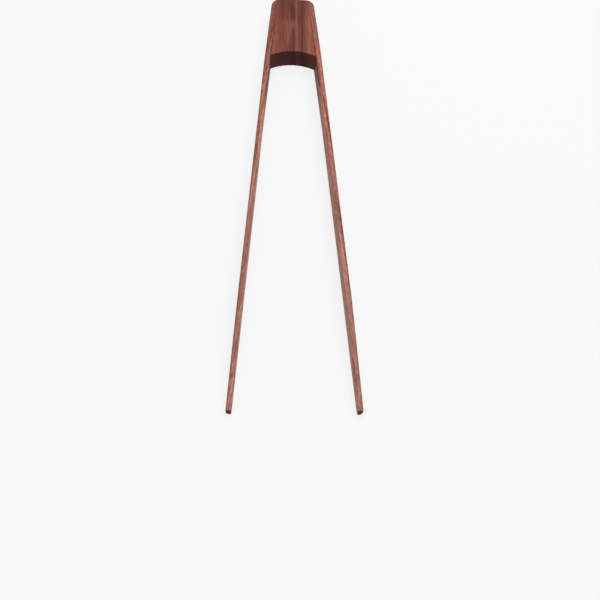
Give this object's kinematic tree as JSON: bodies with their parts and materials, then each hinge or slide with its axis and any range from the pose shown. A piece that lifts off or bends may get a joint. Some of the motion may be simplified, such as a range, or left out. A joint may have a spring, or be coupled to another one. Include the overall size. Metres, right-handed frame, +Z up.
{
  "type": "kitchen tongs",
  "caption": "Wooden kitchen tongs: springy strip legs glued to a wedge block with an arched mouth, tapering to narrow tips that meet when squeezed.",
  "frame": {"origin": "on the table the tongs lie on, under the middle of the outline", "axes": "+Z up from the table, +Y along the axis towards the closed end (tips at -Y), +X across the legs"},
  "size_m": [0.0986, 0.3607, 0.019],
  "materials": {
    "block_wood": "oiled dark hardwood, lengthwise grain, satin, end grain much darker",
    "strip_wood": "oiled dark hardwood strip, fine lengthwise grain, satin",
    "glue": "thin dried wood-glue film, matt, seen only as a fine dark line"
  },
  "bodies": {
    "head": {"head_block": "block_wood", "left_glue_line": "glue", "right_glue_line": "glue", "left_strip_root": "strip_wood", "right_strip_root": "strip_wood"},
    "left_upper": {"left_strip_upper": "strip_wood"},
    "left_middle": {"left_strip_middle": "strip_wood"},
    "left_lower": {"left_strip_lower": "strip_wood"},
    "right_upper": {"right_strip_upper": "strip_wood"},
    "right_middle": {"right_strip_middle": "strip_wood"},
    "right_lower": {"right_strip_lower": "strip_wood"}
  },
  "joints": [
    {"name": "left_squeeze", "type": "hinge", "parent": "head", "child": "left_upper", "pos_m": [-0.02294, 0.10067, 0.0095], "axis": [0, 0, 1], "range_deg": [-1.2, 5.58], "stiffness_Nm_per_rad": 49},
    {"name": "left_upper_bend", "type": "hinge", "parent": "left_upper", "child": "left_middle", "pos_m": [-0.02696, 0.05685, 0.0095], "axis": [0, 0, 1], "range_deg": [-0.72, 3.35]},
    {"name": "left_lower_bend", "type": "hinge", "parent": "left_middle", "child": "left_lower", "pos_m": [-0.03039, 0.017, 0.0095], "axis": [0, 0, 1], "range_deg": [-0.24, 1.12]},
    {"name": "right_squeeze", "type": "hinge", "parent": "head", "child": "right_upper", "pos_m": [0.02294, 0.10067, 0.0095], "axis": [0, 0, -1], "range_deg": [-1.2, 5.58], "stiffness_Nm_per_rad": 49},
    {"name": "right_upper_bend", "type": "hinge", "parent": "right_upper", "child": "right_middle", "pos_m": [0.02696, 0.05685, 0.0095], "axis": [0, 0, -1], "range_deg": [-0.72, 3.35]},
    {"name": "right_lower_bend", "type": "hinge", "parent": "right_middle", "child": "right_lower", "pos_m": [0.03039, 0.017, 0.0095], "axis": [0, 0, -1], "range_deg": [-0.24, 1.12]}
  ],
  "couplings": [
    {"joint": "left_upper_bend", "follows": "left_squeeze", "ratio": 0.6},
    {"joint": "left_lower_bend", "follows": "left_squeeze", "ratio": 0.2},
    {"joint": "right_upper_bend", "follows": "right_squeeze", "ratio": 0.6},
    {"joint": "right_lower_bend", "follows": "right_squeeze", "ratio": 0.2}
  ]
}
